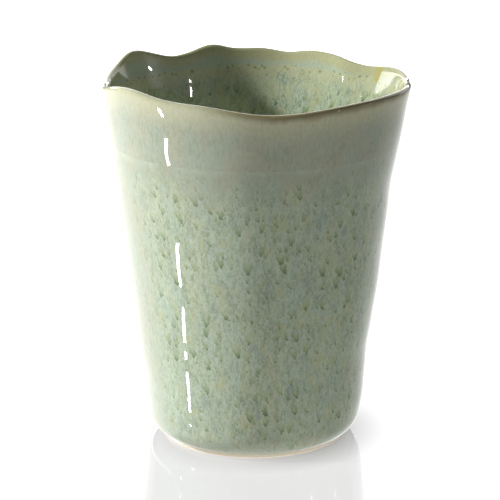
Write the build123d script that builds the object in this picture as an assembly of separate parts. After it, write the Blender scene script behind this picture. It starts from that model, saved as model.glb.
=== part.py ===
"""A brush holder pot: one fired clay body with a wavy hand-altered lip, and the glaze coats fused to it.

The pot stands on the XY plane with its axis on Z. Every length is in millimetres, and every angle is in
degrees, counted from +X towards +Y.
"""

from build123d import *
import math
import os

# The glazed wall
RIM_HEIGHT = 127.0  # mean height of the lip, before its waves
RIM_RADIUS = 53.9  # mean outer radius at the lip
BASE_RADIUS = 36.6  # outer radius of the wall's line, carried down to the table
WALL_HOLLOW = 0.6  # how far the wall bows inwards half way up
LIP_FLARE = 0.9  # how far the last stretch below the lip turns out
FLARE_START = 0.85  # where that stretch starts, as a share of the height
HEEL_RADIUS = 7.8  # rounding between the wall and the underside
HEEL_HEIGHT = 8.5  # height of that rounding's centre
GLAZE = 0.4  # thickness of one fired coat

# The clay under it
LIP_THICKNESS = 1.9
WALL_THICKNESS = 3.6
THINNING = 4  # power that keeps the wall thick until close to the lip
FLOOR_TOP = 6.0  # height of the clay floor inside
INNER_HEEL_RADIUS = 9.0

# Foot: a wiped clay ring round a shallow glazed recess
FOOT_OUTER_RADIUS = 32.3
FOOT_INNER_RADIUS = 27.0
FOOT_ROUNDING = 0.5
FOOT_ROOT = 4.0  # height that the ring reaches inside the body
RECESS_DEPTH = 2.0
RECESS_GLAZE_RADIUS = 26.6

# Where one coat ends and the next starts
GLAZE_STOP = 1.3
OUTER_DIP_LINE = 106.0
INNER_DIP_LINE = 120.0

# Waves of the lip, each a smooth lobe: (angle, size, half-width in degrees)
RISE = [
    (9, -2.3, 13),
    (39, -2.2, 12),
    (77, -1.3, 6),
    (107, 2.0, 6.5),
    (124, -0.9, 6),
    (144, 3.4, 10.5),
    (178, -2.3, 15),
    (219, 3.3, 17),
    (251, 1.2, 14),
    (278, -1.8, 22),
]
SWAY = [
    (18, 2.7, 15),
    (48, -1.8, 9),
    (80, 2.6, 17),
    (125, -0.6, 14),
    (181, -1.1, 11),
    (341, 1.0, 13),
]
WAVE_START = 20.0  # height below which the pot is round
RISE_POWER = 2.5  # how fast the rise and fall of the lip dies away below it
SWAY_POWER = 4.0  # the same for how far the lip leans in and out

# Stations that the skin of the pot is drawn through
WALL_HEIGHTS = [14, 24, 36, 48, 60, 71, 81, 90, 98, 105, 111, 116, 120.5]
ARC_STEPS = 8
RING_POINTS = 72
RING_QUARTERS = 4


def lobes(waves, angle):
    """Sum of the smooth lobes at an angle."""
    total = 0.0
    for centre, size, width in waves:
        apart = (angle - centre + 180) % 360 - 180
        total += size * math.exp(-((apart / width) ** 2))
    return total


def outer_radius(z):
    """Radius of the glazed outer wall at height z, before the waves."""
    t = z / RIM_HEIGHT
    cone = BASE_RADIUS + (RIM_RADIUS - LIP_FLARE - BASE_RADIUS) * t
    flare = LIP_FLARE * max(0.0, (t - FLARE_START) / (1 - FLARE_START)) ** 2
    return cone - WALL_HOLLOW * 4 * t * (1 - t) + flare


def clay_thickness(z):
    """Thickness of the clay wall at height z."""
    return WALL_THICKNESS - (WALL_THICKNESS - LIP_THICKNESS) * (z / RIM_HEIGHT) ** THINNING


def lean(z):
    """Angle at which the wall leans out from upright at height z."""
    step = 1.0
    return math.degrees(math.atan2(outer_radius(z) - outer_radius(z - step), step))


def ring(radius, z):
    """A closed line round the pot, which takes its share of the lip's waves."""
    share = max(0.0, (z - WAVE_START) / (RIM_HEIGHT - WAVE_START))
    points = []
    for i in range(RING_POINTS):
        angle = 360 * i / RING_POINTS
        rise = lobes(RISE, angle) * share**RISE_POWER
        sway = lobes(SWAY, angle) * share**SWAY_POWER
        along_the_lean = outer_radius(z + rise) - outer_radius(z)
        r = radius + sway + along_the_lean
        points.append(Vector(r, 0, z + rise).rotate(Axis.Z, angle))
    even_knots = [i / RING_POINTS for i in range(RING_POINTS + 1)]
    whole = Edge.make_spline(points, periodic=True, parameters=even_knots)
    return Wire([whole.trim(i / RING_QUARTERS, (i + 1) / RING_QUARTERS) for i in range(RING_QUARTERS)])


def arc(centre_radius, centre_z, radius, start, end):
    """Rings on the pot's section along an arc, from one angle to another."""
    rings = []
    for i in range(ARC_STEPS + 1):
        a = math.radians(start + (end - start) * i / ARC_STEPS)
        rings.append(ring(centre_radius + radius * math.cos(a), centre_z + radius * math.sin(a)))
    return rings


def pot_form(skin):
    """The pot without its foot, as one closed solid: the clay when skin is 0, or the glaze over it too."""
    heel_lean = lean(HEEL_HEIGHT)
    heel_centre = outer_radius(HEEL_HEIGHT) - HEEL_RADIUS / math.cos(math.radians(heel_lean))
    lip_z = RIM_HEIGHT - GLAZE - LIP_THICKNESS / 2
    lip_centre = outer_radius(lip_z) - GLAZE - LIP_THICKNESS / 2
    inner_z = FLOOR_TOP + INNER_HEEL_RADIUS
    inner_lean = lean(inner_z)
    inner_wall = outer_radius(inner_z) - GLAZE - clay_thickness(inner_z)
    inner_centre = inner_wall - INNER_HEEL_RADIUS / math.cos(math.radians(inner_lean))

    rings = arc(heel_centre, HEEL_HEIGHT, HEEL_RADIUS - GLAZE + skin, -90, -heel_lean)
    for z in WALL_HEIGHTS:
        rings.append(ring(outer_radius(z) - GLAZE + skin, z))
    rings += arc(lip_centre, lip_z, LIP_THICKNESS / 2 + skin, -lean(lip_z), 180 - lean(lip_z))
    for z in reversed(WALL_HEIGHTS[1:]):
        rings.append(ring(outer_radius(z) - GLAZE - clay_thickness(z) - skin, z))
    rings += arc(inner_centre, inner_z, INNER_HEEL_RADIUS - skin, -inner_lean, -90)
    return Solid.make_loft(rings, ruled=True)


def foot_ring():
    """The clay ring that the pot stands on, with its two lower edges rounded."""
    ring_block = Cylinder(FOOT_OUTER_RADIUS, FOOT_ROOT, align=(Align.CENTER, Align.CENTER, Align.MIN))
    ring_block -= Cylinder(FOOT_INNER_RADIUS, FOOT_ROOT, align=(Align.CENTER, Align.CENTER, Align.MIN))
    lower_edges = ring_block.edges().group_by(Axis.Z)[0].filter_by(GeomType.CIRCLE)
    return fillet(lower_edges, FOOT_ROUNDING)


def recess(radius, bottom, top):
    """A disc on the axis between two heights."""
    disc = Cylinder(radius, top - bottom, align=(Align.CENTER, Align.CENTER, Align.MIN))
    return Pos(0, 0, bottom) * disc


def cut_at(shape, z):
    """What lies below and above a height, each as a list of solids."""
    level = Plane.XY.offset(z)
    below = split(shape, bisect_by=level, keep=Keep.BOTTOM)
    above = split(shape, bisect_by=level, keep=Keep.TOP)
    return below.solids(), above.solids()


def reach(solid):
    """How far a solid reaches from the axis."""
    return solid.bounding_box().max.X


def make_parts():
    clay = pot_form(0) + foot_ring() - recess(FOOT_INNER_RADIUS, 0, RECESS_DEPTH)
    coat = pot_form(GLAZE) - clay

    coat_below, rim_loop = cut_at(coat, INNER_DIP_LINE)
    inner_glaze, outer_coat = sorted(coat_below, key=reach)[-2:]  # leaves the coat wiped off under the foot
    outer_below, outer_band = cut_at(outer_coat, OUTER_DIP_LINE)
    rim_glaze = rim_loop[0] + outer_band[0]
    outer_glaze = max(cut_at(outer_below[0], GLAZE_STOP)[1], key=reach)

    return {
        "clay_body": clay,
        "outer_glaze": outer_glaze,
        "rim_glaze": rim_glaze,
        "inner_glaze": inner_glaze,
        "foot_recess_glaze": recess(RECESS_GLAZE_RADIUS, RECESS_DEPTH - GLAZE, RECESS_DEPTH),
    }


os.makedirs("parts", exist_ok=True)
for name, solid in make_parts().items():
    export_step(solid, f"parts/{name}.step")
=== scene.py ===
"""The looks of the brush holder pot: clay and glaze pieces on the CAD's shape, in a white studio."""

import math

import bpy
import numpy as np
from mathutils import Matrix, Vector
from mathutils.bvhtree import BVHTree

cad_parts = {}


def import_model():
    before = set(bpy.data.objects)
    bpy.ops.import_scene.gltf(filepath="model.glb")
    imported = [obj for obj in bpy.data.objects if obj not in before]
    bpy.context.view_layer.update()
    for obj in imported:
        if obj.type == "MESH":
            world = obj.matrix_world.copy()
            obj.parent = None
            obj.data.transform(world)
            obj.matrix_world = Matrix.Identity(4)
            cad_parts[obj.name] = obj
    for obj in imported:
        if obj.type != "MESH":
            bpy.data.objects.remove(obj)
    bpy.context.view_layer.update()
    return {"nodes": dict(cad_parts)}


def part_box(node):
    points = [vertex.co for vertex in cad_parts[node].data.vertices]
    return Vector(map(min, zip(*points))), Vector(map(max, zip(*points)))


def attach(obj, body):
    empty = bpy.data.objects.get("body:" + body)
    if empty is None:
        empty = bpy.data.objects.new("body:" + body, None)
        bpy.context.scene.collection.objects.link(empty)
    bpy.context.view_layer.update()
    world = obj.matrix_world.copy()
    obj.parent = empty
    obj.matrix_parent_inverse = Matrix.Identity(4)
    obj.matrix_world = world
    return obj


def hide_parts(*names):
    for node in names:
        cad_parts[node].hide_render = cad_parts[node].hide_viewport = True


MM = 0.001

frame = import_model()

# ---------------------------------------------------------------------------------------------
# Shape: the glazed skin, read off the CAD nodes one half plane at a time

ANGLE_COUNT = 480
ANGLES = np.arange(ANGLE_COUNT) * 2 * math.pi / ANGLE_COUNT
COAT = 0.4 * MM
OUTER_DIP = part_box("outer_glaze")[1].z  # height where the rim's coat starts outside
INNER_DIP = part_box("inner_glaze")[1].z  # the same inside
ROW_STEP = 1.0 * MM
FAN_ROWS = 20  # rows round a heel, and across the inside floor
LIP_ROWS = 19
HEEL_CENTRE = 9 * MM  # height of the centre that the outer heel is read from
HEEL_TOP = 10 * MM
INNER_HEEL_TOP = 17 * MM
OUTSIDE = 80 * MM  # a radius outside the pot, where rays inwards start
SEAM_GAP = 0.01 * MM  # keeps a ray off the seam between two coats
FINEST_WAVE = 45  # waves round the pot that smoothing keeps
SMOOTH_ROWS = 2.0  # spread of the smoothing up the wall, in rows


def tree_of(*names):
    """One search tree over the meshes of several CAD nodes."""
    points, faces = [], []
    for name in names:
        mesh = frame["nodes"][name].data
        first = len(points)
        points += [v.co for v in mesh.vertices]
        faces += [[first + i for i in p.vertices] for p in mesh.polygons]
    return BVHTree.FromPolygons(points, faces)


def cast(tree, angle, r, z, dr, dz):
    """Where a ray in the half plane at an angle first meets the tree, as radius and height."""
    for nudge in (0, 1e-5, -1e-5, 1e-4):
        c, s = math.cos(angle + nudge), math.sin(angle + nudge)
        hit = tree.ray_cast(Vector((r * c, r * s, z)), Vector((dr * c, dr * s, dz)))[0]
        if hit is not None:
            return math.hypot(hit.x, hit.y), hit.z
    raise ValueError(f"nothing at {math.degrees(angle):.2f} degrees, r {r:.4f}, z {z:.4f}")


def smooth_round(table):
    """The table without waves finer than FINEST_WAVE round the pot. Angles run along axis 1."""
    waves = np.fft.rfft(table, axis=1)
    keep = np.exp(-((np.arange(waves.shape[1]) / FINEST_WAVE) ** 4))
    return np.fft.irfft(waves * keep[None, :, None], n=table.shape[1], axis=1)


def smooth_up(table, spread=SMOOTH_ROWS):
    """The table smoothed from row to row, with its first and last rows kept where they are."""
    reach = int(4 * spread)
    weights = np.exp(-0.5 * (np.arange(-reach, reach + 1) / spread) ** 2)
    weights /= weights.sum()
    head = 2 * table[:1] - table[reach:0:-1]
    tail = 2 * table[-1:] - table[-2:-reach - 2:-1]
    padded = np.concatenate([head, table, tail])
    return sum(w * padded[i:i + len(table)] for i, w in enumerate(weights))


def read_lip(tree):
    """Height of the lip's crest and radius under it, for each angle."""
    low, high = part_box("rim_glaze")
    reach = max(high.x, high.y)
    radii = np.linspace(0.8 * reach, 1.02 * reach, 60)
    crest = []
    for angle in ANGLES:
        hits = []
        for r in radii:
            c, s = math.cos(angle), math.sin(angle)
            hit = tree.ray_cast(Vector((r * c, r * s, high.z + ROW_STEP)), Vector((0, 0, -1)))[0]
            if hit is not None and hit.z > low.z:
                hits.append((hit.z, r))
        crest.append(max(hits))
    table = smooth_round(np.array(crest)[None])
    return table[0, :, 0], table[0, :, 1]


def fan(tree, centre_r, centre_z, degrees, start):
    """Rows of the skin round a centre: start is how far out the rays begin, or 0 if they begin there."""
    rows = []
    for d in degrees:
        dr, dz = math.cos(math.radians(d)), math.sin(math.radians(d))
        back = -1 if start else 1
        rows.append([
            cast(tree, a, cr + start * dr, cz + start * dz, back * dr, back * dz)
            for a, cr, cz in zip(ANGLES, centre_r, centre_z)
        ])
    return rows


def wall(tree, heights, outside):
    """Rows of the skin at heights, an array of rows by angles, seen from outside or from the axis."""
    start, way = (OUTSIDE, -1) if outside else (0.0, 1)
    return [[cast(tree, a, start, z, way, 0) for a, z in zip(ANGLES, row)] for row in heights]


def spread_rows(start, end):
    """Rows of heights from start to end, each a number or one height per angle, about ROW_STEP apart."""
    start, end = start + 0 * ANGLES, end + 0 * ANGLES
    count = max(4, round(float(np.abs(end - start).mean()) / ROW_STEP))
    return [start + (end - start) * i / count for i in range(count + 1)]


def read_skin():
    """The pot's glazed section at every angle, from the wiped foot over the lip to the floor's centre,
    as a table of rows by angles by (radius, height), and the rows where one coat gives way to the next."""
    tree = tree_of("outer_glaze", "rim_glaze", "inner_glaze")
    every = np.ones(ANGLE_COUNT)
    lip_top, lip_radius = read_lip(tree)
    below = [lip_top - 3 * MM]
    thickness = np.array(wall(tree, below, True))[0, :, 0] - np.array(wall(tree, below, False))[0, :, 0]
    lip_z = lip_top - thickness.mean() / 2
    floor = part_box("inner_glaze")[0].z + COAT

    heel_r = cast(tree, 0, OUTSIDE, HEEL_CENTRE, -1, 0)[0] - HEEL_CENTRE
    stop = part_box("outer_glaze")[0].z
    stop_r = cast(tree, 0, OUTSIDE, stop + 0.05 * MM, -1, 0)[0]
    steepest = math.degrees(math.atan2(stop - HEEL_CENTRE, stop_r - heel_r))
    rows = fan(tree, heel_r * every, HEEL_CENTRE * every, np.linspace(steepest + 1, 0, FAN_ROWS), 20 * MM)
    rows += wall(tree, spread_rows(HEEL_TOP, OUTER_DIP - SEAM_GAP), True)
    outer_seam = len(rows) - 1
    rows += wall(tree, spread_rows(OUTER_DIP, lip_z)[1:], True)
    rows += fan(tree, lip_radius, lip_z, np.linspace(0, 180, LIP_ROWS)[1:], 10 * MM)
    rows += wall(tree, spread_rows(lip_z, INNER_DIP)[1:], False)
    inner_seam = len(rows) - 1
    rows += wall(tree, spread_rows(INNER_DIP - SEAM_GAP, INNER_HEEL_TOP)[1:], False)
    inner_heel_r = rows[-1][0][0] - (INNER_HEEL_TOP - floor)
    rows += fan(tree, inner_heel_r * every, INNER_HEEL_TOP * every, np.linspace(0, -90, FAN_ROWS)[1:], 0)
    rows += [[(r, floor) for a in ANGLES] for r in np.linspace(inner_heel_r, 0, FAN_ROWS)[1:]]

    skin = smooth_up(smooth_round(np.array(rows)))
    return skin, outer_seam, inner_seam


def section_normals(rz):
    """Outward unit normals of a table of sections, within each half plane."""
    along = np.gradient(rz, axis=0)
    normal = np.stack([along[..., 1], -along[..., 0]], -1)
    return normal / np.linalg.norm(normal, axis=-1, keepdims=True)


def lengths_from(rz, row):
    """Distance along each section from a row's point, always positive."""
    steps = np.linalg.norm(np.diff(rz, axis=0), axis=-1)
    total = np.concatenate([np.zeros((1, rz.shape[1])), np.cumsum(steps, axis=0)])
    return np.abs(total - np.take_along_axis(total, row[None], 0))


# Bulges and dents that the potter's hands left: (angle, height in mm, size in mm, half-width in degrees,
# half-height in mm)
OUTER_MARKS = [
    (350, 112, 0.3, 45, 7),
    (350, 91, -0.5, 45, 8),
    (355, 56, 0.3, 60, 11),
    (0, 32, -0.4, 60, 6),
    (0, 14, 0.4, 60, 6),
    (180, 14, -0.2, 40, 6),
    (180, 23, -0.3, 40, 5),
]
INNER_MARKS = [
    (120, 99, 0.55, 14, 13),
    (48, 112, 0.30, 12, 9),
]
# The ripples of throwing, strongest on one side: (height in mm, how much more the wall leans out in degrees)
RIPPLES = [
    (0, 0), (9, 0), (12, -1.9), (14.5, 0.2), (18, -1.6), (30, -1.5), (34.5, 0.6), (38, -1.3), (41, 0.6),
    (45, -1.1), (53, -1.0), (60, 1.0), (66, -0.7), (75, -0.6), (80, 1.6), (90, 1.9), (99, 2.4), (106.5, 2.4),
    (109.5, -1.2), (113.5, -1.9), (117.5, 0.3), (121, 0), (127, 0),
]
RIPPLE_SIDE = 235
RIPPLE_SPREAD = 32  # how fast they fade away from that side, in degrees
SWELL_COUNT = 14  # slow random waves all over the pot
SWELL_SIZE = 0.015 * MM
SMOOTH_EDGE = 6 * MM  # distance over which the relief fades towards the lip, and towards the table


def ripple(height):
    """How far the ripples push the wall out at a height, in metres, where they are strongest."""
    z = np.arange(0, 140, 0.5)
    lean = np.interp(z, *zip(*RIPPLES))
    lean = np.convolve(lean, np.hanning(7) / np.hanning(7).sum(), "same")
    push = np.cumsum(np.radians(lean)) * 0.5
    return np.interp(height / MM, z, push - push.mean()) * MM


def relief(angle, height, marks, seed):
    """How far the skin stands out from its mean shape, in metres, at angles and heights."""
    out = np.zeros(np.broadcast(angle, height).shape)
    for at, z, size, wide, tall in marks:
        apart = (np.degrees(angle) - at + 180) % 360 - 180
        out += size * MM * np.exp(-((apart / wide) ** 2) - ((height / MM - z) / tall) ** 2)
    rng = np.random.default_rng(seed)
    for i in range(SWELL_COUNT):
        waves = rng.integers(1, 7)
        length = rng.uniform(22, 60) * MM
        turn, lift = rng.uniform(0, 2 * math.pi, 2)
        out += SWELL_SIZE * np.cos(waves * angle + turn) * np.cos(2 * math.pi * height / length + lift)
    return out


def outer_relief(angle, height):
    """The relief of the outside, with the ripples of throwing on one side."""
    apart = (np.degrees(angle) - RIPPLE_SIDE + 180) % 360 - 180
    return relief(angle, height, OUTER_MARKS, 2) + ripple(height) * np.exp(-((apart / RIPPLE_SPREAD) ** 2))


def add_relief(skin):
    """The skin with its relief, and for each of its points the distance from the lip's crest before that
    and whether the point is inside the pot."""
    crest_row = np.argmax(skin[..., 1], axis=0)
    from_lip = lengths_from(skin, crest_row)
    heights = skin[..., 1]
    inside = np.arange(len(skin))[:, None] > crest_row[None]
    angles = ANGLES[None]
    out = np.where(inside, relief(angles, heights, INNER_MARKS, 5), outer_relief(angles, heights))
    out *= np.clip(from_lip / SMOOTH_EDGE, 0, 1) * np.clip(heights / SMOOTH_EDGE - 0.3, 0, 1)
    return skin + section_normals(skin) * out[..., None], from_lip, inside


skin, outer_seam, inner_seam = read_skin()
skin, from_lip, inside = add_relief(skin)
normals = section_normals(skin)


# ---------------------------------------------------------------------------------------------
# Meshes: each piece is a closed shell made of rings

BACK_STEP = 3  # the back of a coat takes every third row of the skin
CLAY_STEP = 2  # and the clay under it every second row
FOOT_ROUNDING = 0.5 * MM
RECESS_ROUNDING = 0.3 * MM
FOOT_MIDDLE = 0.8 * MM  # height at which the foot ring's two sides are read


def shell(name, rings, values):
    """A closed mesh through rings of (radius, height) per angle. A ring of radius 0 is a single point.
    values are named floats per ring and angle."""
    points, ids, rows = [], [], []
    for k, ring in enumerate(rings):
        if np.abs(ring[:, 0]).max() < 1e-7:
            ids.append([len(points)] * ANGLE_COUNT)
            points.append((0, 0, float(ring[:, 1].mean())))
            rows.append((k, slice(0, 1)))
        else:
            ids.append(list(range(len(points), len(points) + ANGLE_COUNT)))
            xyz = np.c_[ring[:, 0] * np.cos(ANGLES), ring[:, 0] * np.sin(ANGLES), ring[:, 1]]
            points += [tuple(p) for p in xyz]
            rows.append((k, slice(None)))
    open_ended = len(set(ids[0])) == 1
    pairs = list(zip(ids, ids[1:])) + ([] if open_ended else [(ids[-1], ids[0])])
    faces = []
    for low, high in pairs:
        for i in range(ANGLE_COUNT):
            j = (i + 1) % ANGLE_COUNT
            corners = [low[i], low[j], high[j], high[i]]
            faces.append(tuple(dict.fromkeys(corners)))
    mesh = bpy.data.meshes.new(name)
    mesh.from_pydata(points, [], faces)
    for label, table in values.items():
        data = np.concatenate([table[k][part] for k, part in rows]).astype(np.float32)
        mesh.attributes.new(label, "FLOAT", "POINT").data.foreach_set("value", data)
    mesh.polygons.foreach_set("use_smooth", [True] * len(mesh.polygons))
    mesh.set_sharp_from_angle(angle=math.radians(50))
    mesh.update()
    piece = bpy.data.objects.new(name, mesh)
    bpy.context.scene.collection.objects.link(piece)
    return piece


def coat(name, first, last):
    """A piece of the glaze coat between two rows of the skin, with its back on the clay."""
    front = skin[first:last + 1]
    back_rows = list(range(last, first, -BACK_STEP)) + [first]
    back = [skin[r] - normals[r] * COAT for r in back_rows]
    if np.abs(front[-1][:, 0]).max() < 1e-7:
        back[0] = back[0] * [0, 1]
        rings = list(front[::-1]) + back[::-1]
        order = list(range(last, first - 1, -1)) + back_rows[::-1]
    else:
        rings = list(front) + back
        order = list(range(first, last + 1)) + back_rows
    values = {
        "from_lip": [from_lip[r] / MM for r in order],
        "inside": [inside[r].astype(float) for r in order],
    }
    return shell(name, rings, values)


def profile_rings(points):
    """Round rings through a list of (radius, height)."""
    return [np.array([[r, z]] * ANGLE_COUNT) for r, z in points]


def rounded(centre_r, centre_z, radius, start, end, steps=6):
    """Points on an arc in the section."""
    turn = np.radians(np.linspace(start, end, steps + 1))
    return [(centre_r + radius * math.cos(t), centre_z + radius * math.sin(t)) for t in turn]


def clay():
    """The clay under the coats, with the bare foot ring and its recess."""
    tree = tree_of("clay_body")
    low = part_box("clay_body")[0].z
    outer = cast(tree, 0, OUTSIDE, low + FOOT_MIDDLE, -1, 0)[0]
    inner = cast(tree, 0, 0.0, low + FOOT_MIDDLE, 1, 0)[0]
    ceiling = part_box("foot_recess_glaze")[1].z
    under = skin - normals * COAT
    under[-1] *= [0, 1]
    shoulder = float(under[0][:, 1].mean())
    soft, tight = FOOT_ROUNDING, RECESS_ROUNDING
    foot = [(outer, shoulder - 0.2 * MM), (outer, low + 2 * soft)]
    foot += rounded(outer - soft, low + soft, soft, 0, -90)
    foot += rounded(inner + soft, low + soft, soft, -90, -180)
    foot += [(inner, low + 2 * soft), (inner, ceiling - tight)]
    foot += rounded(inner - tight, ceiling - tight, tight, 0, 90, 3)
    foot += [(r, ceiling) for r in np.linspace(inner - 1 * MM, 0, 12)]
    kept = range(len(skin) - 1, 0, -CLAY_STEP)
    rings = [under[r] for r in kept] + profile_rings(foot)
    return shell("fired_clay", rings, {})


def recess_coat():
    """The disc of glaze in the recess, with a rounded edge."""
    low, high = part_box("foot_recess_glaze")
    radius, thick = high.x, high.z - low.z
    edge = rounded(radius - thick, high.z, thick, 0, -90)
    flat = list(np.linspace(radius - thick, 0, 14)[1:])
    points = [(0, high.z)] + [(r, high.z) for r in flat[::-1][1:]] + edge + [(r, low.z) for r in flat]
    return shell("recess_coat", profile_rings(points), {})


clay_piece = clay()
outer_coat = coat("outer_coat", 0, outer_seam)
rim_coat = coat("rim_coat", outer_seam, inner_seam)
inner_coat = coat("inner_coat", inner_seam, len(skin) - 1)
recess_piece = recess_coat()


# ---------------------------------------------------------------------------------------------
# Materials

# Colours of the fired glaze, as linear red, green and blue
SAGE = (0.328, 0.402, 0.270)
SAGE_WARM = (0.376, 0.408, 0.262)
SAGE_BLUE = (0.310, 0.392, 0.308)
BAND_SAGE = (0.305, 0.345, 0.262)
BAND_BEIGE = (0.335, 0.342, 0.250)
PALE_MESH = (0.455, 0.525, 0.420)
DARK_MESH = (0.215, 0.270, 0.185)
TAN = (0.380, 0.392, 0.215)
DUSK = (0.235, 0.290, 0.265)
OLIVE = (0.322, 0.355, 0.155)
GREEN = (0.218, 0.298, 0.140)
DARK_GREEN = (0.092, 0.145, 0.068)
# Painted light: the paler tone that the outer band takes near the lip, where its flare catches the light
RIM_PAINTED_LIGHT = (0.448, 0.446, 0.292)
RIM_BROWN = (0.220, 0.190, 0.085)
INNER_OLIVE = (0.395, 0.400, 0.232)
INNER_BLUE = (0.365, 0.430, 0.320)
INNER_SAGE = (0.420, 0.440, 0.275)
AMBER = (0.400, 0.370, 0.130)

# Places on the glaze: heights in millimetres, and azimuths in degrees
OUTER_LINE = OUTER_DIP / MM
INNER_LINE = INNER_DIP / MM
DOT_ROW = INNER_LINE + 0.3  # the row of dark specks inside
AMBER_RUN = 31.0  # the amber run inside the lip
CALM_SIDE = 190.0  # the side where the drops hardly show
THIN_SIDE = 340.0  # the side where the glaze ran thin on the lip's outer edge


def compass(azimuth):
    """The level direction of an azimuth in degrees."""
    return math.cos(math.radians(azimuth)), math.sin(math.radians(azimuth)), 0


class Nodes:
    """Short calls for building a node tree."""

    def __init__(self, name):
        """Starts a material with that name."""
        self.material = bpy.data.materials.new(name)
        self.material.use_nodes = True
        self.tree = self.material.node_tree
        self.shader = next(n for n in self.tree.nodes if n.type == "BSDF_PRINCIPLED")
        self.place = self.new("ShaderNodeTexCoord").outputs["Object"]

    @classmethod
    def over(cls, tree):
        """The same calls for a tree that isn't a material's."""
        made = cls.__new__(cls)
        made.tree = tree
        return made

    def new(self, kind, **settings):
        """A new node with its settings."""
        node = self.tree.nodes.new(kind)
        for key, value in settings.items():
            setattr(node, key, value)
        return node

    def put(self, socket, value):
        """Sets a socket to a value, or links another socket to it."""
        if isinstance(value, bpy.types.NodeSocket):
            self.tree.links.new(value, socket)
        elif isinstance(value, tuple) and socket.type == "RGBA":
            socket.default_value = (*value, 1)
        else:
            socket.default_value = value

    def math(self, operation, a, b=0.0):
        """The result of one sum or function of numbers."""
        node = self.new("ShaderNodeMath", operation=operation)
        self.put(node.inputs[0], a)
        self.put(node.inputs[1], b)
        return node.outputs[0]

    def ramp(self, value, low, high):
        """0 at low and 1 at high, with a soft start and end."""
        node = self.new("ShaderNodeMapRange", interpolation_type="SMOOTHSTEP")
        self.put(node.inputs["Value"], value)
        node.inputs["From Min"].default_value = min(low, high)
        node.inputs["From Max"].default_value = max(low, high)
        node.inputs["To Min"].default_value = 0.0 if low < high else 1.0
        node.inputs["To Max"].default_value = 1.0 if low < high else 0.0
        return node.outputs["Result"]

    def mix(self, share, a, b, blend="MIX"):
        """Colour a with a share of colour b."""
        node = self.new("ShaderNodeMix", data_type="RGBA", blend_type=blend)
        self.put(node.inputs["Factor"], share)
        self.put(node.inputs[6], a)
        self.put(node.inputs[7], b)
        return node.outputs[2]

    def scaled(self, x, y, z, shift=(0, 0, 0)):
        """The place on the object, in millimetres, scaled along each axis."""
        node = self.new("ShaderNodeMapping")
        self.put(node.inputs["Vector"], self.place)
        node.inputs["Scale"].default_value = (x / MM, y / MM, z / MM)
        node.inputs["Location"].default_value = shift
        return node.outputs[0]

    def noise(self, place, scale, detail=2.0, rough=0.5, distortion=0.0):
        """A cloudy number about 0.5."""
        node = self.new("ShaderNodeTexNoise")
        self.put(node.inputs["Vector"], place)
        node.inputs["Scale"].default_value = scale
        node.inputs["Detail"].default_value = detail
        node.inputs["Roughness"].default_value = rough
        node.inputs["Distortion"].default_value = distortion
        return node.outputs["Fac"]

    def attribute(self, name):
        """A number that the mesh carries at each point."""
        return self.new("ShaderNodeAttribute", attribute_name=name).outputs["Fac"]

    def vector(self, operation, a, b=(0, 0, 0)):
        """The result of one sum or function of vectors."""
        node = self.new("ShaderNodeVectorMath", operation=operation)
        self.put(node.inputs[0], a)
        self.put(node.inputs[1], b)
        return node.outputs["Value" if operation in ("DOT_PRODUCT", "LENGTH") else "Vector"]

    def height(self):
        """Height above the table in millimetres."""
        node = self.new("ShaderNodeSeparateXYZ")
        self.put(node.inputs[0], self.place)
        return self.math("MULTIPLY", node.outputs["Z"], 1 / MM)


def cell_places(n, cell, shift, wander=0.5):
    """Scattered centres about a cell apart, in millimetres. Gives how far a point lies across, above and
    outside its nearest centre, and two random numbers for that centre."""
    place = n.scaled(1, 1, 1, shift)
    drift = n.new("ShaderNodeTexNoise")
    n.put(drift.inputs["Vector"], place)
    drift.inputs["Scale"].default_value = 0.8
    drift.inputs["Detail"].default_value = 1.0
    drift = n.vector("SUBTRACT", drift.outputs["Color"], (0.5, 0.5, 0.5))
    drift = n.vector("MULTIPLY", drift, (4 * wander, 4 * wander, 2 * wander))
    place = n.vector("ADD", place, drift)
    cells = n.new("ShaderNodeTexVoronoi", feature="F1")
    n.put(cells.inputs["Vector"], place)
    cells.inputs["Scale"].default_value = 1 / cell
    local = n.vector("SUBTRACT", place, cells.outputs["Position"])
    outward = n.vector("NORMALIZE", n.vector("MULTIPLY", n.place, (1, 1, 0)))
    sideways = n.vector("CROSS_PRODUCT", (0, 0, 1), outward)
    random = n.new("ShaderNodeSeparateColor")
    n.put(random.inputs[0], cells.outputs["Color"])
    return {
        "across": n.vector("DOT_PRODUCT", local, sideways),
        "up": n.vector("DOT_PRODUCT", local, (0, 0, 1)),
        "depth": n.vector("DOT_PRODUCT", local, outward),
        "first": random.outputs["Red"],
        "second": random.outputs["Green"],
    }


def flow_mark(n, at, width, tip, top, reach):
    """A mark that the running glaze leaves: broad and faint above, drawn to a rounded point below.
    Gives how far a point is inside it, near its lower end, near its sides, and on the pale line around
    it, each 0 to 1. width is half its width, tip and top are how far it goes below and above its centre,
    and reach is its depth."""
    climb = n.math("DIVIDE", n.math("ADD", at["up"], tip), tip + top)
    opening = n.math("POWER", n.math("MAXIMUM", n.math("MULTIPLY", climb, 1.7), 0.0), 0.65)
    half = n.math("MAXIMUM", n.math("MULTIPLY", n.math("MINIMUM", opening, 1.0), width), 0.03)
    side = n.math("DIVIDE", n.math("ABSOLUTE", at["across"]), half)
    shallow = n.ramp(n.math("ABSOLUTE", at["depth"]), reach, 0.6 * reach)
    fade = n.math("MULTIPLY", n.ramp(climb, 1.0, 0.30), n.ramp(climb, 0.0, 0.10))
    fade = n.math("MULTIPLY", fade, shallow)
    inside = n.math("MULTIPLY", n.ramp(side, 1.2, 0.75), fade)
    low = n.math("MULTIPLY", inside, n.ramp(climb, 0.52, 0.10))
    edge = n.math("MULTIPLY", inside, n.ramp(side, 0.25, 0.85))
    outline = n.math("MULTIPLY", n.math("MULTIPLY", n.ramp(side, 1.9, 1.2), n.ramp(side, 0.8, 1.15)), fade)
    return inside, low, edge, outline


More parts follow.
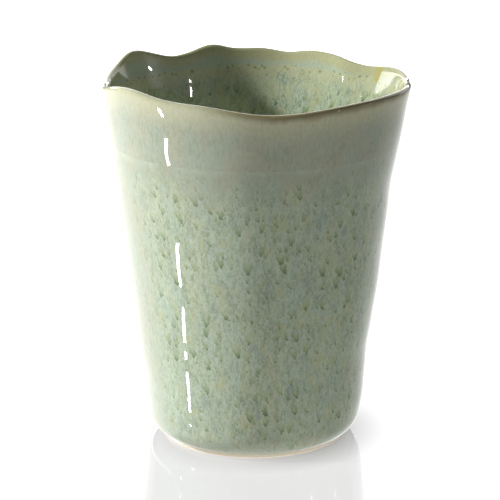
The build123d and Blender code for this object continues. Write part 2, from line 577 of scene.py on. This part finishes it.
def flow_marks(n, colour, cell, width, tip, top, shift, share, kept):
    """Lays flow marks over a colour: olive inside, dark green down the edges to the point, pale around.
    Their centres are about a cell apart. share is how strongly they show, and kept how many of them do."""
    at = cell_places(n, cell, shift)
    size = n.math("ADD", n.math("MULTIPLY", at["second"], 0.7), 0.65)
    slant = n.math("MULTIPLY", n.math("SUBTRACT", at["first"], 0.55), 0.9)
    across = n.math("ADD", at["across"], n.math("MULTIPLY", slant, at["up"]))
    sized = {
        "across": n.math("DIVIDE", across, size),
        "up": n.math("DIVIDE", at["up"], size),
        "depth": at["depth"],
    }
    inside, low, edge, outline = flow_mark(n, sized, width, tip, top, 0.42 * cell)
    chosen = n.math("MULTIPLY", n.ramp(at["first"], 1 - kept, 1 - 0.5 * kept), share)
    colour = n.mix(n.math("MULTIPLY", outline, n.math("MULTIPLY", chosen, 0.45)), colour, PALE_MESH)
    olive = n.mix(at["second"], OLIVE, GREEN)
    colour = n.mix(n.math("MULTIPLY", inside, n.math("MULTIPLY", chosen, 0.75)), colour, olive)
    dark = n.math("MAXIMUM", n.math("MULTIPLY", edge, 0.45), low)
    return n.mix(n.math("MULTIPLY", dark, n.math("MULTIPLY", chosen, 0.85)), colour, DARK_GREEN)


def ridges(n, place, scale, width, detail=1.0):
    """Thin lines where a noise crosses its middle value."""
    value = n.noise(place, scale, detail, 0.5, 0.3)
    off = n.math("ABSOLUTE", n.math("SUBTRACT", value, 0.5))
    return n.ramp(off, width, 0.0)


def running_tone(n):
    """The glaze's ground colour below the dip line: sage with warm and blue clouds, drawn down in streaks."""
    colour = n.mix(n.ramp(n.noise(n.scaled(1, 1, 0.4), 1 / 12, 2), 0.38, 0.62), SAGE, SAGE_WARM)
    blue = n.ramp(n.noise(n.scaled(1, 1, 0.35, (31, 7, 2)), 1 / 6, 3), 0.44, 0.64)
    colour = n.mix(n.math("MULTIPLY", blue, 0.85), colour, SAGE_BLUE)
    shade = n.ramp(n.noise(n.scaled(1, 1, 0.5, (5, 5, 5)), 1 / 1.5, 3, 0.6, 0.5), 0.64, 0.36)
    colour = n.mix(n.math("MULTIPLY", shade, 0.5), colour, DARK_MESH)
    pools = n.ramp(n.noise(n.scaled(1, 1, 0.55, (15, 25, 5)), 1 / 4.2, 2, 0.5, 0.4), 0.50, 0.62)
    colour = n.mix(n.math("MULTIPLY", pools, 0.6), colour, DARK_MESH)
    lines = n.math("MAXIMUM", ridges(n, n.scaled(1, 1, 0.75, (2, 3, 4)), 1 / 1.6, 0.06),
                   ridges(n, n.scaled(1, 1, 0.30, (9, 1, 6)), 1 / 1.2, 0.07))
    colour = n.mix(n.math("MULTIPLY", lines, 0.55), colour, PALE_MESH)
    dusk = n.ramp(n.noise(n.scaled(1, 1, 0.45, (4, -21, 9)), 1 / 3.6, 2), 0.60, 0.74)
    colour = n.mix(n.math("MULTIPLY", dusk, 0.6), colour, DUSK)
    tan = n.ramp(n.noise(n.scaled(1, 1, 0.6, (-13, 5, 40)), 1 / 4.5, 3), 0.54, 0.70)
    return n.mix(n.math("MULTIPLY", tan, 0.6), colour, TAN)


def fine_grain(n, colour, share):
    """Fine upright streaks and grain."""
    streak = n.ramp(n.noise(n.scaled(1, 1, 0.18, (1, 2, 3)), 1 / 0.5, 1), 0.3, 0.7)
    grain = n.ramp(n.noise(n.scaled(1, 1, 1, (7, 7, 7)), 1 / 0.42, 1), 0.3, 0.7)
    colour = n.mix(share, colour, n.mix(streak, (0.42, 0.43, 0.42), (0.58, 0.57, 0.58)), "OVERLAY")
    return n.mix(share, colour, n.mix(grain, (0.43, 0.43, 0.43), (0.57, 0.57, 0.57)), "OVERLAY")


def smooth_tone(n):
    """The calm glaze of the band under the rim and of the last stretch above the foot."""
    cloud = n.ramp(n.noise(n.scaled(1, 1, 0.6, (3, 9, 1)), 1 / 8, 3), 0.38, 0.62)
    colour = n.mix(cloud, BAND_SAGE, BAND_BEIGE)
    streaks = n.ramp(n.noise(n.scaled(1, 1, 0.3, (6, 2, 9)), 1 / 0.9, 2), 0.45, 0.65)
    patch = n.ramp(n.noise(n.scaled(1, 1, 1, (1, 6, 3)), 1 / 9, 2), 0.42, 0.58)
    return n.mix(n.math("MULTIPLY", n.math("MULTIPLY", streaks, patch), 0.55), colour, DARK_MESH)


def spotted(n, cover):
    """The running glaze with its drops. cover says how far the calm glaze hides them, from 0 to 1."""
    colour = running_tone(n)
    colour = flow_marks(n, colour, 2.1, 0.36, 0.60, 0.80, (11, 2, 7), 0.55, 0.7)
    colour = flow_marks(n, colour, 3.3, 0.70, 1.10, 1.60, (5, 17, 3), 0.85, 0.7)
    colour = flow_marks(n, colour, 4.9, 1.20, 1.70, 2.60, (0, 0, 0), 1.0, 0.8)
    return n.mix(cover, colour, smooth_tone(n))


def glossy(n):
    """The shine of fired glaze."""
    n.shader.inputs["Roughness"].default_value = 0.025
    n.shader.inputs["IOR"].default_value = 1.52


def outer_glaze_material():
    """The spotted coat outside. It calms down towards the dip line, the foot and one side."""
    n = Nodes("running_glaze")
    height = n.height()
    uneven = n.math("MULTIPLY", n.math("SUBTRACT", n.noise(n.scaled(1, 1, 0.2), 1 / 6, 2), 0.5), 26)
    ragged = n.math("ADD", height, uneven)
    band = n.math("MULTIPLY", n.ramp(ragged, OUTER_LINE - 18, OUTER_LINE), 0.88)
    foot = n.math("MULTIPLY", n.ramp(ragged, 12.0, 4.0), 0.7)
    outward = n.vector("NORMALIZE", n.vector("MULTIPLY", n.place, (1, 1, 0)))
    calm_side = n.vector("DOT_PRODUCT", outward, compass(CALM_SIDE))
    calm = n.math("MULTIPLY", n.ramp(calm_side, 0.80, 0.97), 0.8)
    cover = n.math("MAXIMUM", n.math("MAXIMUM", band, foot), calm)
    colour = fine_grain(n, spotted(n, cover), 0.22)
    patchy = n.ramp(n.noise(n.scaled(1, 1, 1, (8, 8, 8)), 1 / 5, 2), 0.3, 0.7)
    line = n.math("MULTIPLY", n.ramp(height, OUTER_LINE - 3.5, OUTER_LINE), patchy)
    line = n.math("MULTIPLY", line, 0.35)
    n.put(n.shader.inputs["Base Color"], n.mix(line, colour, PALE_MESH))
    glossy(n)
    return n.material


def rim_glaze_material():
    """The dipped band: sage-beige outside, paled towards the lip by painted light, and round the lip olive
    where the glaze ran thin. Inside it turns blue-green above the inner dip line, with an amber run in
    one place."""
    n = Nodes("dipped_rim_glaze")
    lip = n.attribute("from_lip")
    inside = n.attribute("inside")
    wavy = n.math("MULTIPLY", n.math("SUBTRACT", n.noise(n.scaled(1, 1, 0.3, (2, 8, 5)), 1 / 7, 2), 0.5), 3.0)
    away = n.math("ADD", lip, wavy)
    outer = spotted(n, 0.93)
    # Painted light: the outer band pales towards the lip, for the light that the lip's flare catches
    outer = n.mix(n.math("MULTIPLY", n.ramp(away, 12.5, 3.0), 0.80), outer, RIM_PAINTED_LIGHT)
    inner = n.mix(n.ramp(away, 6.0, 3.0), INNER_BLUE, INNER_OLIVE)
    below_blue = n.ramp(n.math("SUBTRACT", n.height(), wavy), INNER_LINE + 1.5, INNER_LINE + 0.5)
    inner = dotted_row(n, n.mix(below_blue, inner, INNER_SAGE))
    amber = n.math("MULTIPLY", run_at(n, AMBER_RUN, 2.6), n.ramp(lip, 9.0, 5.0))
    inner = n.mix(n.math("MULTIPLY", amber, 0.85), inner, AMBER)
    colour = n.mix(inside, outer, inner)
    colour = fine_grain(n, colour, 0.35)
    thin = n.math("MULTIPLY", n.ramp(away, 4.2, 1.6), n.math("SUBTRACT", 1.0, inside))
    thin = n.math("MULTIPLY", thin, side_share(n, THIN_SIDE, -2.0, 18.0))
    colour = n.mix(n.math("MULTIPLY", thin, 0.85), colour, RIM_BROWN)
    n.put(n.shader.inputs["Base Color"], colour)
    glossy(n)
    return n.material


def side_share(n, azimuth, low, high):
    """0 to 1 across the pot in one direction, between two distances from the axis in millimetres."""
    return n.ramp(n.vector("DOT_PRODUCT", n.scaled(1, 1, 1), compass(azimuth)), low, high)


def dotted_row(n, colour):
    """Small dark specks scattered along a level line inside the pot."""
    dots = cell_places(n, 2.6, (1, 4, 2), 0.5)
    near = n.math("ADD", n.math("MULTIPLY", dots["across"], dots["across"]),
                  n.math("MULTIPLY", dots["up"], dots["up"]))
    off_row = n.math("SUBTRACT", n.math("SUBTRACT", n.height(), dots["up"]), DOT_ROW)
    size = n.math("ADD", n.math("MULTIPLY", dots["first"], 0.5), 0.15)
    speck = n.ramp(n.math("DIVIDE", near, size), 1.0, 0.2)
    speck = n.math("MULTIPLY", speck, n.ramp(n.math("ABSOLUTE", off_row), 1.1, 0.9))
    return n.mix(n.math("MULTIPLY", speck, 0.55), colour, DARK_GREEN)


def run_at(n, azimuth, half):
    """1 along an upright line on the wall at an azimuth, fading to 0 at half its width in millimetres."""
    off = n.math("ABSOLUTE", n.vector("DOT_PRODUCT", n.scaled(1, 1, 1), compass(azimuth + 90)))
    ahead = side_share(n, azimuth, 0.0, 5.0)
    return n.math("MULTIPLY", n.ramp(off, half, 0.3 * half), ahead)


def inner_glaze_material(name="inner_running_glaze"):
    """The spotted coat inside, lighter and warmer, calm just under its dip line and on the floor."""
    n = Nodes(name)
    height = n.height()
    uneven = n.math("MULTIPLY", n.math("SUBTRACT", n.noise(n.scaled(1, 1, 0.3, (6, 1, 9)), 1 / 5, 2), 0.5), 8)
    ragged = n.math("ADD", height, uneven)
    calm = n.ramp(ragged, INNER_LINE - 5, INNER_LINE - 1)
    colour = spotted(n, n.math("MULTIPLY", n.ramp(height, 13.0, 7.5), 0.8))
    olive = n.ramp(n.noise(n.scaled(1, 1, 0.7, (14, 3, 8)), 1 / 5, 2), 0.46, 0.58)
    colour = n.mix(n.math("MULTIPLY", n.math("MAXIMUM", calm, n.math("MULTIPLY", olive, 0.6)), 0.9),
                   colour, INNER_SAGE)
    colour = dotted_row(n, colour)
    n.put(n.shader.inputs["Base Color"], fine_grain(n, colour, 0.5))
    glossy(n)
    return n.material


def clay_material():
    """Pale bare clay with a fine grain."""
    n = Nodes("bare_fired_clay")
    grain = n.noise(n.scaled(1, 1, 1), 2.2, 4)
    n.put(n.shader.inputs["Base Color"], n.mix(grain, (0.82, 0.70, 0.52), (0.90, 0.80, 0.64)))
    n.shader.inputs["Roughness"].default_value = 0.8
    return n.material


def finish_piece(piece, material, node):
    """Gives a piece its material and its place in the frame."""
    piece.data.materials.append(material)
    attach(piece, "root")
    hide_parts(node)


finish_piece(clay_piece, clay_material(), "clay_body")
finish_piece(outer_coat, outer_glaze_material(), "outer_glaze")
finish_piece(rim_coat, rim_glaze_material(), "rim_glaze")
finish_piece(inner_coat, inner_glaze_material(), "inner_glaze")
finish_piece(recess_piece, inner_glaze_material("recess_running_glaze"), "foot_recess_glaze")


# ---------------------------------------------------------------------------------------------
# Studio

MIDDLE = Vector((0, 0, 65 * MM))  # the pot's middle, which the lights are aimed at
CAMERA_AIM = Vector((-1.47 * MM, 0, 65.4 * MM))
CAMERA_DISTANCE = 0.8
CAMERA_PITCH = 16.01  # degrees that it looks down by


def camera():
    """Seen from the front, a little from above."""
    pitch = math.radians(CAMERA_PITCH)
    data = bpy.data.cameras.new("camera")
    data.lens, data.sensor_width = 164.5, 36
    eye = bpy.data.objects.new("camera", data)
    eye.location = CAMERA_AIM + CAMERA_DISTANCE * Vector((0, -math.cos(pitch), math.sin(pitch)))
    eye.rotation_euler = (math.pi / 2 - pitch, 0, 0)
    bpy.context.scene.collection.objects.link(eye)
    bpy.context.scene.camera = eye


def area_light(name, azimuth, elevation, distance, width, height, power):
    """A softbox aimed at the pot's middle, placed by its direction from there in degrees."""
    az, el = math.radians(azimuth), math.radians(elevation)
    way = Vector((math.cos(el) * math.cos(az), math.cos(el) * math.sin(az), math.sin(el)))
    data = bpy.data.lights.new(name, "AREA")
    data.shape, data.size, data.size_y, data.energy = "RECTANGLE", width, height, power
    lamp = bpy.data.objects.new(name, data)
    lamp.location = MIDDLE + distance * way
    lamp.rotation_euler = way.to_track_quat("Z", "Y").to_euler()
    bpy.context.scene.collection.objects.link(lamp)
    return lamp


TABLE_SIZE = 6.0  # half its width, in metres
TABLE_GLOW = 0.725
CONTACT_REACH = 12 * MM  # how far from the pot the table darkens
CONTACT_SHADE = 0.15
SHADE_AT_RIGHT = 0.35  # what the right adds to that shade


def floor():
    """A white table, mostly lit by itself, that darkens near the pot. The pot's light and gloss don't see
    it: the world's lower half stands in for it there."""
    size = TABLE_SIZE
    mesh = bpy.data.meshes.new("floor")
    mesh.from_pydata([(-size, -size, 0), (size, -size, 0), (size, size, 0), (-size, size, 0)], [],
                     [(0, 1, 2, 3)])
    table = bpy.data.objects.new("floor", mesh)
    bpy.context.scene.collection.objects.link(table)
    n = Nodes("white_floor")
    n.shader.inputs["Base Color"].default_value = (0.06, 0.06, 0.06, 1)
    n.shader.inputs["Roughness"].default_value = 0.08
    n.shader.inputs["Emission Color"].default_value = (1, 1, 1, 1)
    openness = n.new("ShaderNodeAmbientOcclusion", samples=16)
    openness.inputs["Distance"].default_value = CONTACT_REACH
    side = n.new("ShaderNodeSeparateXYZ")
    n.put(side.inputs[0], n.place)
    shade = n.math("MULTIPLY", n.ramp(side.outputs["X"], -0.02, 0.03), SHADE_AT_RIGHT)
    shade = n.math("ADD", shade, CONTACT_SHADE)
    shade = n.math("MULTIPLY", shade, n.math("SUBTRACT", 1.0, openness.outputs["AO"]))
    n.put(n.shader.inputs["Emission Strength"], n.math("SUBTRACT", TABLE_GLOW, shade))
    table.data.materials.append(n.material)
    table.visible_glossy = False
    table.visible_shadow = False
    table.visible_diffuse = False


# Walls of light in the room: (azimuth, half-width in degrees, sines of lowest and highest elevation,
# strength)
PANELS = [
    (119, 51, 0.145, 0.23, 7.5),
    (85, 48, 0.25, 0.70, 1.7),
    (46, 15, 0.00, 0.24, 1.5),
    (358, 7, 0.00, 0.24, 0.9),
    (335, 25, 0.00, 0.30, 0.25),
]
# Light from the table: the same all round, and more from some sides, as (azimuth, strength)
TABLE_LIGHT = 0.5
TABLE_SIDES = [(192, 1.33), (105, 1.2)]
WORLD_STRENGTH = 0.85

# Lights that the gloss doesn't show: (name, azimuth, elevation, distance, width, height, power). The card
# lies under the table and lights the pot through it.
SOFTBOXES = [
    ("key", 187, 30, 1.5, 0.12, 0.15, 31),
    ("card", 296, -52, 0.16, 0.09, 0.09, 0.028),
]
# Narrow lamps that only the gloss shows: (name, azimuth, elevation, distance, width, height)
GLINTS = [
    ("key_in_the_table", 196, -25.5, 6.0, 0.26, 0.71),
    ("strip_right", 329.7, 11.0, 1.5, 0.026, 0.10),
    ("bulb_right", 329.8, 13.9, 1.5, 0.040, 0.010),
    ("lamp_right", 2, 12.7, 1.5, 0.08, 0.010),
    ("lamp_left", 186.4, 9.7, 1.5, 0.05, 0.035),
    ("lamp_behind", 164.5, 10.9, 1.5, 0.03, 0.012),
]
GLINT_RADIANCE = 70


def world():
    """White to the camera. Its light on the pot comes mostly from a bright table, brightest to the left
    and behind, and from the walls of light above it."""
    white = bpy.data.worlds.new("white_studio")
    white.use_nodes = True
    bpy.context.scene.world = white
    n = Nodes.over(white.node_tree)
    direction = n.new("ShaderNodeTexCoord").outputs["Generated"]
    level = n.vector("NORMALIZE", n.vector("MULTIPLY", direction, (1, 1, 0)))
    rise = n.new("ShaderNodeSeparateXYZ")
    n.put(rise.inputs[0], direction)
    z = rise.outputs["Z"]

    def towards(azimuth):
        """Cosine of how far a direction turns away from an azimuth."""
        return n.vector("DOT_PRODUCT", level, compass(azimuth))

    def panel(azimuth, half, low, high, strength):
        """A wall of light of that half-width in degrees, between two sines of elevation."""
        edge = math.cos(math.radians(half))
        across = n.ramp(towards(azimuth), edge - 0.01, edge + 0.01)
        upright = n.math("MULTIPLY", n.ramp(z, low - 0.02, low + 0.02), n.ramp(z, high + 0.02, high - 0.02))
        return n.math("MULTIPLY", n.math("MULTIPLY", across, upright), strength)

    table = TABLE_LIGHT
    for azimuth, strength in TABLE_SIDES:
        side = n.math("MULTIPLY", n.math("MAXIMUM", towards(azimuth), 0.0), strength)
        table = n.math("ADD", side, table)
    straight_down = n.ramp(z, -0.60, -0.75)
    table = n.math("ADD", n.math("MULTIPLY", n.math("SUBTRACT", 1.0, straight_down), table), straight_down)
    room = n.math("ADD", n.math("MULTIPLY", n.ramp(z, 0.50, 0.32), 0.2), 0.1)
    for wall_of_light in PANELS:
        room = n.math("ADD", room, panel(*wall_of_light))
    above = n.ramp(z, -0.20, -0.04)
    glow = n.math("ADD", n.math("MULTIPLY", n.math("SUBTRACT", 1.0, above), table),
                  n.math("MULTIPLY", above, room))
    glow = n.math("MULTIPLY", glow, WORLD_STRENGTH)
    chosen = n.new("ShaderNodeMix", data_type="FLOAT")
    n.put(chosen.inputs["Factor"], n.new("ShaderNodeLightPath").outputs["Is Camera Ray"])
    n.put(chosen.inputs[2], glow)
    chosen.inputs[3].default_value = 1.0
    back = white.node_tree.nodes["Background"]
    n.put(back.inputs["Strength"], chosen.outputs[0])
    back.inputs["Color"].default_value = (1, 1, 1, 1)


def lights():
    """The softboxes, and the glints, which light the pot's pieces only."""
    pot = bpy.data.collections.new("pot")
    for piece in (clay_piece, outer_coat, rim_coat, inner_coat, recess_piece):
        pot.objects.link(piece)
    for softbox in SOFTBOXES:
        area_light(*softbox).visible_glossy = False
    for name, azimuth, elevation, distance, width, height in GLINTS:
        power = GLINT_RADIANCE * math.pi * width * height
        glint = area_light(name, azimuth, elevation, distance, width, height, power)
        glint.visible_diffuse = False
        glint.light_linking.receiver_collection = pot


camera()
floor()
world()
lights()
bpy.context.scene.view_settings.view_transform = "Standard"
